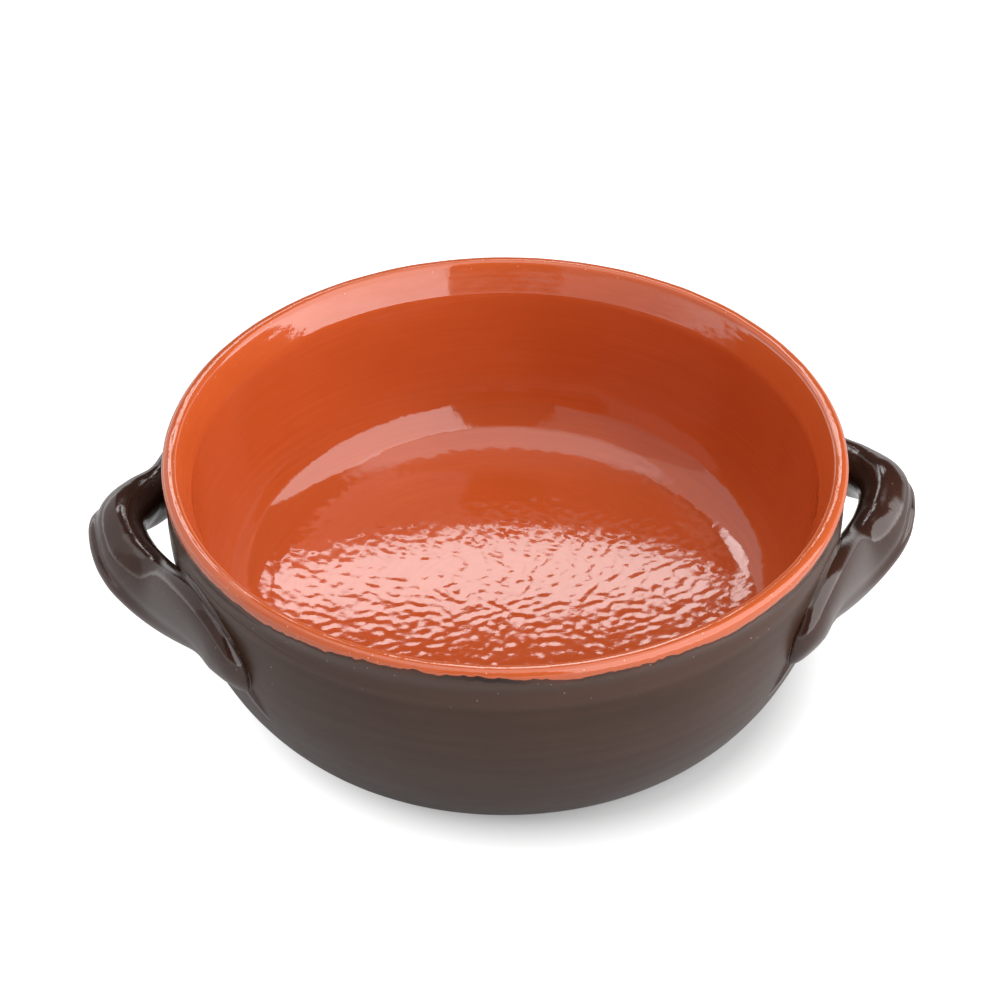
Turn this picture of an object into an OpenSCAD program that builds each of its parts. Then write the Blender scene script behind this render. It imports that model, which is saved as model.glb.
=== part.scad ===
// Round two-handled earthenware baking dish, in millimetres.
// It stands on the XY plane with +Z up. The origin is the middle of its foot,
// and its handles lie along X.

/* [Bowl] */
// Diameter of the clay bowl over its lip
rim_d = 179.2; // [150:0.2:240]
// Height of the clay bowl, from the table to the top of its lip
bowl_h = 62.6; // [52:0.2:84]
// Outer diameter of the flat ring that the bowl stands on
foot_d = 142; // [110:1:150]
// Width of that ring
foot_ring_w = 9; // [4:0.5:20]
// Depth of the shallow hollow inside the ring
foot_hollow = 0.8; // [0.4:0.1:3]
// How far the rounded edge reaches out past the ring
foot_edge = 2.4; // [1:0.1:5]
// How straight the wall is, from a curve that runs out level at the foot up to a nearly straight side
wall_straight = 1.13; // [1.02:0.01:2]
// Thickness of the wall under the lip
wall_t = 6.6; // [4.5:0.1:9]
// Thickness of the floor at its middle
floor_t = 5.2; // [4.6:0.1:12]
// How much the floor rises from its middle to the wall
floor_dish = 7; // [0.5:0.1:9]
// How tight the corner between the floor and the wall is
corner_power = 17; // [6:0.5:20]

/* [Lip] */
// Radius of the outer half of the rounded lip
lip_r = 1.6; // [1.2:0.1:4]
// Width of the nearly flat top of the lip
crown_w = 1.1; // [0.5:0.1:2.5]
// How far the lip stands out past the wall below it
lip_overhang = 0.5; // [0:0.1:2]
// Depth of the soft groove under the lip
neck_depth = 0.6; // [0.1:0.1:1.5]
// Depth under the lip at which the wall is fullest
belly_drop = 11.2; // [8:0.2:16]
// How far down the inside the bevel of the lip reaches
lip_inner_h = 8.5; // [4:0.5:14]

/* [Handles] */
// Clear gap for the fingers between the wall and the middle of the loop
finger_gap = 6.4; // [4.5:0.1:24]
// Depth of the loop's middle under the lip
handle_drop = 22.6; // [19:0.2:34]
// Distance along the lip from the handle's middle to the tip of each tongue
handle_run = 59.8; // [48:0.2:70]
// Width of the strap
strap_w = 15.6; // [9:0.2:20]
// Thickness of the strap
strap_t = 14; // [7:0.2:16]
// How much the strap's broad face slopes down outwards at the middle of the loop, in degrees
strap_tilt = 44; // [0:1:50]
// How far the strap dips between the middle of the loop and the place where it lands
strap_sag = 5; // [0:0.2:8]
// Depth of the groove along the strap's broad face
strap_groove = 0.8; // [0:0.1:2]
// Depth under the lip at which each end of the strap lands on the wall
root_drop = 21; // [16:0.2:26]
// Width of the strap where it lands
root_w = 20; // [11:0.5:23]
// How far the strap stands out from the wall where it lands
root_t = 6.1; // [4:0.1:8]
// Depth under the lip of the tongues' tips
tongue_drop = 34; // [30:0.2:42]
// Width of each tongue near its tip
tongue_w = 8.6; // [5:0.2:14]
// How far each tongue stands out from the wall near its tip
tongue_t = 3.5; // [2:0.1:5]
// How far round the bowl the left handle sits off the line through the right one, in degrees
left_turn = 1.5; // [-6:0.5:6]

/* [Glaze and slip] */
// Thickness of the glaze
glaze_t = 0.4; // [0.2:0.05:1]
// Depth under the lip of the line where the two glazes meet
dip_drop = 5.4; // [3:0.2:9]
// Height of the bare clay above the table
bare_h = 1.6; // [1.2:0.2:12]
// Thickness of the slip that joins the handles to the wall
slip_t = 0.5; // [0.2:0.05:1.2]
// How far the slip is squeezed out past the strap
slip_margin = 0.6; // [0:0.1:2]
// Clearance between the strap and its bed of slip or the glaze
seat_gap = 0.08; // [0.02:0.01:0.3]

/* [Hidden] */

rim_r = rim_d / 2;
foot_r = foot_d / 2;
in_r = rim_r - wall_t;
belly_r = rim_r - lip_overhang;
belly_z = bowl_h - belly_drop;
lip_z = bowl_h - lip_r;
dip_z = bowl_h - dip_drop;
in_top_z = bowl_h - lip_inner_h;
wall_side_power = 1.8;
crown_slope = [1, 0.05];

// Steps along each stretch of the bowl's outline
edge_steps = 4;
wall_steps = 16;
neck_steps = 8;
lip_steps = 8;
bend_steps = 5;
side_steps = 8;
corner_steps = 12;
floor_steps = 8;

// The wall outside is a stretch of an ellipse with an upright tangent at the belly
ellipse_h = belly_z * wall_straight;
ellipse_foot = sqrt(1 - 1 / (wall_straight * wall_straight));
ellipse_w = (belly_r - foot_r - foot_edge) / (1 - ellipse_foot);

function mix(a, b, t) = a + (b - a) * t;
function unit(v) = v / norm(v);
function ease(t) = t * t * (3 - 2 * t);
function sink(z) = min(max((belly_z - z) / ellipse_h, 0), 1 / wall_straight);
function neck_share(z) = min(max((z - belly_z) / (lip_z - belly_z), 0), 1);
function wall_r(z) = belly_r - ellipse_w * (1 - sqrt(1 - sink(z) * sink(z)));
function neck_r(u) = belly_r + lip_overhang * ease(u) - neck_depth * pow(sin(180 * u), 2);

// Outer radius of the bare clay at a height
function outer_r(z) = z < belly_z ? wall_r(z) : neck_r(neck_share(z));
function outer_point(z) = [outer_r(z), z];

// Rounded edge from the foot ring to the wall
function bend(a, b, c, t) = mix(mix(a, b, t), mix(b, c, t), t);
foot_line = [
    for (i = [0 : edge_steps])
        bend([foot_r, 0], [foot_r + foot_edge, 0], outer_point(bare_h), i / edge_steps)
];

// Glazed wall, from the bare clay up to the line where the glazes meet
wall_line = concat(
    [for (i = [1 : wall_steps]) outer_point(mix(bare_h, belly_z, i / wall_steps))],
    [for (i = [1 : neck_steps]) outer_point(mix(belly_z, dip_z, i / neck_steps))]
);

// Over the lip, down the inside and across the floor to the axis.
// The lip has a nearly flat top, and a straight bevel leads down from it. The inside under it is
// one flat-bottomed curve, whose two powers set its corner.
in_depth = in_top_z - floor_dish - floor_t;
function in_z(s) = floor_t + in_depth * (1 - pow(1 - pow(s, corner_power), 1 / wall_side_power));
function in_share(d) = pow(1 - pow(d, wall_side_power), 1 / corner_power);
function in_point(s) = [in_r * s, in_z(s) + floor_dish * s * s];
crown_in = [rim_r - lip_r, bowl_h] - crown_w * crown_slope;
bevel_top = crown_in - 0.4 * crown_slope;
bevel_end = [in_r, in_top_z];
bevel_line = concat(
    [for (i = [0 : bend_steps]) bend(crown_in, bevel_top, mix(bevel_top, bevel_end, 0.15), i / bend_steps)],
    [mix(bevel_top, bevel_end, 0.55), bevel_end]
);
corner_start_share = in_share(0.5);
corner_end_share = 0.72;
lip_line = concat(
    [for (i = [1 : lip_steps]) outer_point(mix(dip_z, lip_z, i / lip_steps))],
    [
        for (i = [1 : lip_steps])
            [rim_r - lip_r, lip_z] + lip_r * [cos(90 * i / lip_steps), sin(90 * i / lip_steps)]
    ],
    bevel_line,
    [for (i = [1 : side_steps]) in_point(in_share(0.5 * i / side_steps))],
    [for (i = [1 : corner_steps]) in_point(mix(corner_start_share, corner_end_share, i / corner_steps))],
    [for (i = [1 : floor_steps]) in_point(corner_end_share * (1 - i / floor_steps))]
);

skin = concat(foot_line, wall_line, lip_line);
wall_from = len(foot_line) - 1;
lip_from = wall_from + len(wall_line);
skin_end = len(skin) - 1;

// Outward normal of the skin at a point, and the skin moved out by a thickness
function skin_run(i) = skin[min(i + 1, skin_end)] - skin[max(i - 1, 0)];
function skin_normal(i) = unit([skin_run(i)[1], -skin_run(i)[0]]);
function skin_out(i, t) = i == skin_end ? skin[i] + [0, t] : skin[i] + t * skin_normal(i);
function coat(from, to, t) = concat(
    [for (i = [from : to]) skin[i]],
    [for (i = [to : -1 : from]) skin_out(i, t)]
);

// The strap's middle line, from the crown of the loop to the tip of a tongue:
// share of the run along the lip, stand-off from the wall, depth under the lip, width, thickness
handle_reach = glaze_t + finger_gap + strap_w / 2;
seat_share = 0.1;
mid_t = mix(root_t, tongue_t, 0.1);
function landed_t(t) = 2 * (1 - seat_share) * t;
strap_rows = [
    [0, handle_reach, handle_drop, strap_w, strap_t],
    [
        0.2, 0.8 * handle_reach, handle_drop + 0.62 * strap_sag,
        mix(strap_w, root_w, 0.5), mix(strap_t, landed_t(root_t), 0.3)
    ],
    [0.37, 0.4 * handle_reach, handle_drop + strap_sag, root_w, landed_t(root_t)],
    [0.7, seat_share * root_t, root_drop, root_w, landed_t(root_t)],
    [
        0.9, seat_share * mid_t, mix(root_drop, tongue_drop, 0.3),
        mix(root_w, tongue_w, 0.38), landed_t(mid_t)
    ],
    [1, seat_share * tongue_t, tongue_drop, tongue_w, landed_t(tongue_t)]
];
row_end = len(strap_rows) - 1;
row_steps = 5;
ring_sides = 20;
section_power = 2.3;
groove_share = 0.35;
tip_start_share = 0.93;
turn_end_share = 0.52;

function flip_run(row) = [-row[0], row[1], row[2], row[3], row[4]];
function row_at(i) =
    i < 0 ? flip_run(strap_rows[1]) :
    i > row_end ? 2 * strap_rows[row_end] - strap_rows[row_end - 1] :
    strap_rows[i];
function between(a, b, c, d, t) =
    (2 * b + (c - a) * t + (2 * a - 5 * b + 4 * c - d) * t * t + (3 * b - a - 3 * c + d) * t * t * t) / 2;
strap_line = concat(
    [
        for (i = [0 : row_end - 1], s = [0 : row_steps - 1])
            between(row_at(i - 1), row_at(i), row_at(i + 1), row_at(i + 2), s / row_steps)
    ],
    [strap_rows[row_end]]
);
line_end = len(strap_line) - 1;

function run_angle(run) = run / rim_r * 180 / PI;
function polar(r, a, z) = [r * cos(a), r * sin(a), z];
function line_z(i) = bowl_h - strap_line[i][2];
function line_point(i) =
    i < 0 ? line_point(-i) - [0, 2 * line_point(-i)[1], 0] :
    polar(outer_r(line_z(i)) + strap_line[i][1], line_angle(i), line_z(i));
line_points = [for (i = [-1 : line_end]) line_point(i)];
function line_tangent(i) = unit(line_points[min(i + 2, line_end + 1)] - line_points[i]);
function square_to(v, t) = unit(v - t * (v * t));

// The strap's face slopes at the crown and looks straight out where it lies on the wall
function line_angle(i) = run_angle(strap_line[i][0] * handle_run);
function turn_share(i) = ease(min(strap_line[i][0] / turn_end_share, 1));
function crown_face(i) = polar(sin(strap_tilt), line_angle(i), cos(strap_tilt));
function wall_face(i) = polar(1, line_angle(i), 0);
function line_face(i) = square_to(mix(crown_face(i), wall_face(i), turn_share(i)), line_tangent(i));
face = [for (i = [0 : line_end]) line_face(i)];
broad = [for (i = [0 : line_end]) cross(line_tangent(i), face[i])];

// The strap is pressed against the wall: no point of it lies inside its seat
function seat_r(z) = outer_r(z) + slip_t + seat_gap;
function reach(p) = norm([p[0], p[1]]);
function pressed(p) = p + (max(seat_r(p[2]) / reach(p), 1) - 1) * [p[0], p[1], 0];
function signed_pow(v, k) = sign(v) * pow(abs(v), k);
function tip_share(i) = max((strap_line[i][0] - tip_start_share) / (1 - tip_start_share), 0);
function tip_round(i) = max(sqrt(max(1 - pow(tip_share(i), 2), 0)), 0.4);
function groove_at(v) = sin(v) > 0 ? strap_groove * exp(-pow(cos(v) / groove_share, 2)) : 0;
function ring_point(i, v) = pressed(
    line_points[i + 1]
    + strap_line[i][3] / 2 * tip_round(i) * signed_pow(cos(v), 2 / section_power) * broad[i]
    + (strap_line[i][4] / 2 * signed_pow(sin(v), 2 / section_power) - groove_at(v)) * face[i]
);
function ring(i) = [for (j = [0 : ring_sides - 1]) ring_point(i, 360 * j / ring_sides)];
function flip_y(points) = [for (p = points) [p[0], -p[1], p[2]]];
strap_rings = concat(
    [for (i = [line_end : -1 : 1]) flip_y(ring(i))],
    [for (i = [0 : line_end]) ring(i)]
);
ring_end = len(strap_rings) - 1;
function at(i, j) = i * ring_sides + j % ring_sides;
strap_points = [for (r = strap_rings, p = r) p];
strap_faces = concat(
    [for (i = [0 : ring_end - 1], j = [0 : ring_sides - 1]) [at(i, j), at(i, j + 1), at(i + 1, j + 1)]],
    [for (i = [0 : ring_end - 1], j = [0 : ring_sides - 1]) [at(i, j), at(i + 1, j + 1), at(i + 1, j)]],
    [[for (j = [ring_sides - 1 : -1 : 0]) at(0, j)]],
    [[for (j = [0 : ring_sides - 1]) at(ring_end, j)]]
);

// Outline of a bed of slip, seen square to the wall: run along the lip against height.
// It follows the strap's broad direction where the strap lies on the wall.
bed_start_share = 0.46;
bed_middle = run_angle(handle_run * 0.78);
function bed_across(i) = [broad[i] * polar(1, line_angle(i) + 90, 0), broad[i][2]];
function bed_half(i) = strap_line[i][3] / 2 * tip_round(i) + slip_margin;
function bed_side(i, s) =
    [rim_r * sin(line_angle(i) - bed_middle), line_z(i)] + s * bed_half(i) * bed_across(i);
bed_rings = [for (i = [0 : line_end]) if (strap_line[i][0] > bed_start_share) i];
bed_outline = concat(
    [for (i = bed_rings) bed_side(i, 1)],
    [for (k = [len(bed_rings) - 1 : -1 : 0]) bed_side(bed_rings[k], -1)]
);

module turned(points) {
    rotate_extrude($fn = 180)
        polygon(points);
}

// Straight cutter with the outline of one bed of slip, from well inside the bowl out past its wall
module bed_prism() {
    rotate([0, 0, bed_middle])
        translate([in_r / 2, 0, 0])
            rotate([90, 0, 90])
                linear_extrude(height = rim_r)
                    polygon(bed_outline);
}

module bed_prism_pair() {
    bed_prism();
    mirror([0, 1, 0])
        bed_prism();
}

module slip_bed() {
    color("#8a4a30")
        intersection() {
            turned(coat(wall_from, lip_from, slip_t));
            bed_prism();
        }
}

module strap() {
    color("#4a2b22")
        polyhedron(points = strap_points, faces = strap_faces, convexity = 4);
}

module bowl() {
    ring_in = foot_r - foot_ring_w;
    color("#b4552f")
        turned(concat([[0, foot_hollow], [ring_in - foot_hollow, foot_hollow], [ring_in, 0]], skin));
}

module inner_glaze() {
    color("#d9692f")
        turned(coat(lip_from, skin_end, glaze_t));
}

module outer_glaze() {
    color("#4b382f")
        difference() {
            turned(coat(wall_from, lip_from, glaze_t));
            bed_prism_pair();
            rotate([0, 0, -left_turn])
                mirror([1, 0, 0])
                    bed_prism_pair();
        }
}

module right_handle() {
    strap();
}

module left_handle() {
    rotate([0, 0, 180 - left_turn])
        strap();
}

module right_back_slip() {
    slip_bed();
}

module right_front_slip() {
    mirror([0, 1, 0])
        slip_bed();
}

module left_back_slip() {
    rotate([0, 0, -left_turn])
        mirror([1, 0, 0])
            slip_bed();
}

module left_front_slip() {
    rotate([0, 0, 180 - left_turn])
        slip_bed();
}

bowl();
left_handle();
right_handle();
left_front_slip();
left_back_slip();
right_front_slip();
right_back_slip();
inner_glaze();
outer_glaze();
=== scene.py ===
# %% [markdown]
# # A two-handled terracotta baking dish
# A potter makes this dish from three pieces of red clay: a shallow bowl turned on a wheel and two
# pulled straps. Liquid clay, called slip, joins the straps to the wall. After the first firing the
# dish gets two glazes: a glossy orange one inside and over the lip, and a dark brown one outside.
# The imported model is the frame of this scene. Each of its nodes gets a finer surface with the same
# sizes, worked out with numpy, so that ripples, drips and finger marks can be real geometry.

# %% Load the frame
import math

import bpy
import numpy as np
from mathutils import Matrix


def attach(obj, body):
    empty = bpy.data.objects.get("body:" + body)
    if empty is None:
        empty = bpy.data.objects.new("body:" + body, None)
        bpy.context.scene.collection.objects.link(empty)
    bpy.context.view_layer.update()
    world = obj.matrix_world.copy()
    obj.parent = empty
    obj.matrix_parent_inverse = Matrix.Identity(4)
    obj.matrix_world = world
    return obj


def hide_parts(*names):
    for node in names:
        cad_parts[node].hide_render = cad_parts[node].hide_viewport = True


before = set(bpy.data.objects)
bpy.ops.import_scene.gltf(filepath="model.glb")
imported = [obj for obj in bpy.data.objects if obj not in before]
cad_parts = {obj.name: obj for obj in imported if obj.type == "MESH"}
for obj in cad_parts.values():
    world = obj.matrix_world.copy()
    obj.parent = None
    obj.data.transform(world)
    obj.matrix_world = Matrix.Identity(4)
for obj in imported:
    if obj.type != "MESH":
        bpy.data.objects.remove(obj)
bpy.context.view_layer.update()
print("nodes:", sorted(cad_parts))

# %% [markdown]
# ## Sizes
# The sizes are the ones of the solid model, in millimetres. One factor turns them into Blender's
# metres at the very end, where points go into a mesh, so that every formula reads like a drawing.

# %% Sizes of the clay and the glaze
MM = 0.001
RIM_R = 89.6
BOWL_H = 62.6
FOOT_R = 71.0
FOOT_RING_W = 9.0
FOOT_HOLLOW = 0.8
FOOT_EDGE = 2.4
WALL_STRAIGHT = 1.13
WALL_T = 6.6
IN_R = RIM_R - WALL_T
FLOOR_T = 5.2
FLOOR_DISH = 7.0
CORNER_POWER = 17.0
SIDE_POWER = 1.8
LIP_R = 1.6
LIP_OVERHANG = 0.5
NECK_DEPTH = 0.6
NECK_H = 11.2
BELLY_Z = BOWL_H - NECK_H
BELLY_R = RIM_R - LIP_OVERHANG
LIP_Z = BOWL_H - LIP_R
BEVEL_H = 8.5
IN_TOP_Z = BOWL_H - BEVEL_H
CROWN_W = 1.1
DIP_DROP = 3.4
DIP_Z = BOWL_H - DIP_DROP
BARE_Z = 1.6
GLAZE_T = 0.4
COAT_T = 0.38
print("dish over the glaze:", 2 * (RIM_R + GLAZE_T), "mm across,", BOWL_H + GLAZE_T, "mm high")

# %% [markdown]
# ## Smooth noise from waves
# Clay and glaze are never quite even. A sum of cosine waves with random directions and about the
# same wavelength gives a soft, even unevenness of a chosen size. It takes whole arrays of points,
# has no seam round the bowl, and a fixed seed gives the same dish every time.

# %% Helpers for noise and blending
def ease(t):
    """Rises from 0 to 1 with level ends: t squared times (3 minus 2 t), t held between 0 and 1."""
    t = np.clip(t, 0.0, 1.0)
    return t * t * (3.0 - 2.0 * t)


def waves(points, wavelength, seed, count=48):
    """Unit-strength noise: the sum of `count` cosines of (wave vector dot point + phase), over the
    root of count/2. The wave vectors point all ways in space, and their lengths spread by a third
    about 2 pi / wavelength."""
    rng = np.random.default_rng(seed)
    way = rng.normal(size=(count, 3))
    way /= np.linalg.norm(way, axis=1)[:, None]
    vectors = way * (2 * np.pi / wavelength * rng.uniform(0.72, 1.38, count))[:, None]
    phases = rng.uniform(0, 2 * np.pi, count)
    total = np.zeros(points.shape[:-1])
    for vector, phase in zip(vectors, phases):
        total += np.cos(points @ vector + phase)
    return total / math.sqrt(count / 2)


def mixed_waves(points, *sizes):
    """The sum of several noises, each given as strength, wavelength, seed and perhaps a count."""
    return sum(size[0] * waves(points, *size[1:]) for size in sizes)


def bell(x, height, middle, width):
    """A bell curve: height times e to the minus square of (x - middle) / width."""
    return height * np.exp(-(((x - middle) / width) ** 2))


# %% [markdown]
# ## From arrays to a mesh
# A surface is a grid of points: rows along a profile and columns around it. The columns close on
# themselves, and a profile that starts or ends on the axis closes there with a fan of triangles.
# `foreach_set` hands whole arrays to Blender, which is much faster than adding points one by one.

# %% A helper that makes a closed skin from a grid
def skin_piece(name, grid, material, first_pole=None, last_pole=None,
               closed_rows=False, attributes=None):
    """A mesh from a grid of shape (rows, columns, 3) in millimetres, with wrapped columns. Each
    pole is one point that closes an end with a fan; closed_rows joins the last row to the first."""
    rows, cols = grid.shape[:2]
    index = np.arange(rows * cols).reshape(rows, cols)
    if closed_rows:
        index = np.vstack([index, index[:1]])
    a, b = index[:-1], index[1:]
    quads = np.stack([a, np.roll(a, -1, 1), np.roll(b, -1, 1), b], -1).reshape(-1, 4)
    points, fans = [grid.reshape(-1, 3)], []
    for pole, row, order in ((first_pole, index[0], 1), (last_pole, index[-1], -1)):
        if pole is not None:
            tip = np.full(cols, sum(len(p) for p in points))
            points.append(np.array([pole], float))
            fans.append(np.stack([tip, np.roll(row, -1), row], -1)[:, ::order])
    points = np.vstack(points)
    tris = np.vstack(fans) if fans else np.zeros((0, 3), int)
    corners = np.concatenate([quads.ravel(), tris.ravel()])
    starts = np.concatenate([np.arange(len(quads)) * 4, len(quads) * 4 + np.arange(len(tris)) * 3])
    mesh = bpy.data.meshes.new(name)
    mesh.vertices.add(len(points))
    mesh.vertices.foreach_set("co", (points * MM).astype(np.float32).ravel())
    mesh.loops.add(len(corners))
    mesh.loops.foreach_set("vertex_index", corners.astype(np.int32))
    mesh.polygons.add(len(starts))
    mesh.polygons.foreach_set("loop_start", starts.astype(np.int32))
    mesh.polygons.foreach_set("use_smooth", np.ones(len(starts), bool))
    mesh.update(calc_edges=True)
    for key, values in (attributes or {}).items():
        layer = mesh.attributes.new(key, "FLOAT", "POINT")
        padded = np.concatenate([values.ravel(), np.zeros(len(points) - values.size)])
        layer.data.foreach_set("value", padded.astype(np.float32))
    mesh.materials.append(material)
    piece = bpy.data.objects.new(name, mesh)
    bpy.context.scene.collection.objects.link(piece)
    print(f"{name}: {2 * len(quads) + len(tris)} triangles")
    return piece


# %% [markdown]
# ## The bowl's outline
# A turned pot is one outline carried round an axis. The outside is a stretch of an ellipse that
# stands upright at the belly, with a soft neck under the lip. The inside is a curve with a gently
# dished floor, and its two powers set how tight the corner is. A straight bevel leads from it up to
# a tight bend and the nearly flat top of the lip, and a quarter round closes the lip outside.

# %% The outline outside, at any height
ELLIPSE_H = BELLY_Z * WALL_STRAIGHT
ELLIPSE_W = (BELLY_R - FOOT_R - FOOT_EDGE) / (1 - math.sqrt(1 - 1 / WALL_STRAIGHT**2))


def outer_radius(z):
    """Outer radius of the bare clay: below the belly an ellipse, above it the belly plus the lip's
    overhang (eased) minus a groove that goes as the square of a sine."""
    sink = np.clip((BELLY_Z - z) / ELLIPSE_H, 0, 1 / WALL_STRAIGHT)
    wall = BELLY_R - ELLIPSE_W * (1 - np.sqrt(1 - sink**2))
    up = np.clip((z - BELLY_Z) / (LIP_Z - BELLY_Z), 0, 1)
    return wall + LIP_OVERHANG * ease(up) - NECK_DEPTH * np.sin(np.pi * up) ** 2


SLOPE_STEP = 0.05


def outside_at(way):
    """Radius, height and the two parts of the outward normal on the outside, where way is the
    height up to the lip's round and from there on the distance along it."""
    turn = np.clip((way - LIP_Z) / LIP_R, 0, np.pi / 2)
    low = np.minimum(way, LIP_Z)
    slope = (outer_radius(low + SLOPE_STEP) - outer_radius(low - SLOPE_STEP)) / (2 * SLOPE_STEP)
    lean = np.where(turn > 0, 0, np.arctan(-slope)) + turn
    radius = outer_radius(low) - LIP_R * (1 - np.cos(turn))
    return radius, low + LIP_R * np.sin(turn), np.cos(lean), np.sin(lean)


# %% The outline over the lip and across the inside
LIP_TOP = LIP_Z + LIP_R * np.pi / 2
CROWN_SLOPE = np.array([1, 0.05])
BEND_REACH = 0.4
BEND_SHARE = 0.15


def lip_arc(count):
    """A quarter circle from the outermost point of the lip to its top."""
    a = np.linspace(0, np.pi / 2, count)
    return np.stack([RIM_R - LIP_R + LIP_R * np.cos(a), LIP_Z + LIP_R * np.sin(a)], -1)


def bend(a, b, c, count):
    """A quadratic bend from a to c that leaves a towards b and reaches c from b."""
    t = np.linspace(0, 1, count)[:, None]
    return (a * (1 - t) + b * t) * (1 - t) + (b * (1 - t) + c * t) * t


def lip_bevel(count):
    """From the lip's outer half over its nearly flat top, round a tight bend and straight down to
    the wall inside."""
    start, end = np.array([RIM_R - LIP_R, BOWL_H]), np.array([IN_R, IN_TOP_Z])
    crown_in = start - CROWN_W * CROWN_SLOPE
    corner = crown_in - BEND_REACH * CROWN_SLOPE
    tight = bend(crown_in, corner, corner + BEND_SHARE * (end - corner), 40)
    return resample(np.vstack([start, tight, end]), count)


def inside_curve(share):
    """The inside at a share of its radius: depth goes as (1 - share^corner)^(1/side), and the floor
    dishes by share^2."""
    depth = (IN_TOP_Z - FLOOR_DISH - FLOOR_T) * (1 - share**CORNER_POWER) ** (1 / SIDE_POWER)
    return np.stack([IN_R * share, IN_TOP_Z - FLOOR_DISH - depth + FLOOR_DISH * share**2], -1)


def inside_line():
    """The inside as a fine line from the bevel down to the middle of the floor."""
    fall = np.linspace(0, 0.96, 1500)
    wall = (1 - fall**SIDE_POWER) ** (1 / CORNER_POWER)
    return inside_curve(np.concatenate([wall, np.linspace(wall[-1], 0.0, 1500)[1:]]))


def resample(line, count, start=0.0, end=1.0):
    """Points at even distances along a line, between two shares of its length."""
    run = np.concatenate([[0], np.cumsum(np.linalg.norm(np.diff(line, axis=0), axis=1))])
    at = np.linspace(start, end, count) * run[-1]
    return np.stack([np.interp(at, run, line[:, 0]), np.interp(at, run, line[:, 1])], -1)


def outline_normals(line):
    """Unit normals of a line of (radius, height) points, on its right-hand side as it runs up the
    outside."""
    step = np.gradient(line, axis=0)
    step /= np.linalg.norm(step, axis=1)[:, None]
    return np.stack([step[:, 1], -step[:, 0]], -1)


def turned(radius, height, angles):
    """Grid of points at radius and height, arrays of (rows, columns), round the Z axis."""
    height = np.broadcast_to(height, radius.shape)
    return np.stack([radius * np.cos(angles), radius * np.sin(angles), height], -1)


print("clay wall at half height:", outer_radius(BOWL_H / 2).round(2), "mm from the axis")

# %% [markdown]
# ## The line where the two glazes meet
# The dish is dipped by hand, so the line wanders: at the left front it runs up onto the round of
# the lip, and at the right front it lies low. Where the glazes flow into each other it is ragged,
# so noise of four sizes is added. Both coats use the same line: the orange ends on it, and the
# brown goes on for a millimetre under the orange.

# %% Ragged glaze lines
COLUMNS = 540
ANGLES = np.linspace(0, 2 * np.pi, COLUMNS, endpoint=False)
DIP_STRETCHES = ((2.3, -0.38, 0.30), (0.7, 0.10, 0.22), (-0.9, 0.85, 0.40))
DIP_NOISE = ((0.30, 42, 11), (0.22, 9, 12), (0.16, 2.6, 13), (0.12, 2.0, 16))
BARE_NOISE = ((0.22, 30, 14), (0.15, 5, 15))


def round_the_lip(angles):
    """Points on a circle of the lip's radius, where noise round the bowl is read."""
    return np.stack([RIM_R * np.cos(angles), RIM_R * np.sin(angles), 0 * angles], -1)


def from_front(angles):
    """Angle from the front of the bowl, positive to the right, up to half a turn either way."""
    return (angles + 1.5 * np.pi) % (2 * np.pi) - np.pi


def dip_line(angles):
    """Way up the outside at which the glazes meet: its mean, bell-shaped stretches (height in mm,
    middle and width in radians from the front), and four sizes of noise."""
    hand = sum(bell(from_front(angles), *stretch) for stretch in DIP_STRETCHES)
    return DIP_Z + hand + mixed_waves(round_the_lip(angles), *DIP_NOISE)


def bare_line(angles):
    """Height at which the brown glaze stops above the foot."""
    return BARE_Z + mixed_waves(round_the_lip(angles), *BARE_NOISE)


dip = dip_line(ANGLES)
print("glazes meet between", dip.min().round(1), "and", dip.max().round(1), "mm up the outside")

# %% [markdown]
# ## Materials
# Each finish is a Principled shader with its own small net of nodes. Patterns read Object
# coordinates, which are metres on the dish. A potter's marks run round the bowl, so the streaks use
# a coordinate that changes slowly round the axis and fast along the outline: radius plus height.

# %% Helpers for node nets
def new_material(name):
    """A new node material with a Principled shader: the material, its tree and the shader."""
    material = bpy.data.materials.new(name)
    material.use_nodes = True
    tree = material.node_tree
    return material, tree, tree.nodes["Principled BSDF"]


def add_node(tree, kind, inputs=None, **settings):
    """A node of a kind with settings; each input is a value, or a socket to link from."""
    node = tree.nodes.new(kind)
    for key, value in settings.items():
        setattr(node, key, value)
    for key, value in (inputs or {}).items():
        if isinstance(value, bpy.types.NodeSocket):
            tree.links.new(value, node.inputs[key])
        else:
            node.inputs[key].default_value = value
    return node


def ramp(tree, factor, stops):
    """A colour ramp over a factor; stops are (place, colour) pairs, the colours linear RGB."""
    node = add_node(tree, "ShaderNodeValToRGB", {"Fac": factor})
    while len(node.color_ramp.elements) < len(stops):
        node.color_ramp.elements.new(0.5)
    for element, (place, colour) in zip(node.color_ramp.elements, stops):
        element.position = place
        element.color = (*colour, 1.0)
    return node.outputs["Color"]


def mix_colour(tree, factor, a, b, blend="MIX"):
    """Mixes colour a towards colour b by a factor; each of them is a socket or a colour."""
    node = tree.nodes.new("ShaderNodeMix")
    node.data_type = "RGBA"
    node.blend_type = blend
    sockets = {"Factor": node.inputs[0], "A": node.inputs[6], "B": node.inputs[7]}
    for key, value in (("Factor", factor), ("A", a), ("B", b)):
        if isinstance(value, bpy.types.NodeSocket):
            tree.links.new(value, sockets[key])
        else:
            sockets[key].default_value = value if key == "Factor" else (*value, 1.0)
    return node.outputs[2]


def math_node(tree, operation, a, b=0.5, clamp=False):
    """One arithmetic node; a and b are sockets or numbers."""
    node = add_node(tree, "ShaderNodeMath", {0: a, 1: b}, operation=operation, use_clamp=clamp)
    return node.outputs[0]


def attribute(tree, name):
    """The socket of a mesh attribute."""
    return add_node(tree, "ShaderNodeAttribute", attribute_name=name).outputs["Fac"]


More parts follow.
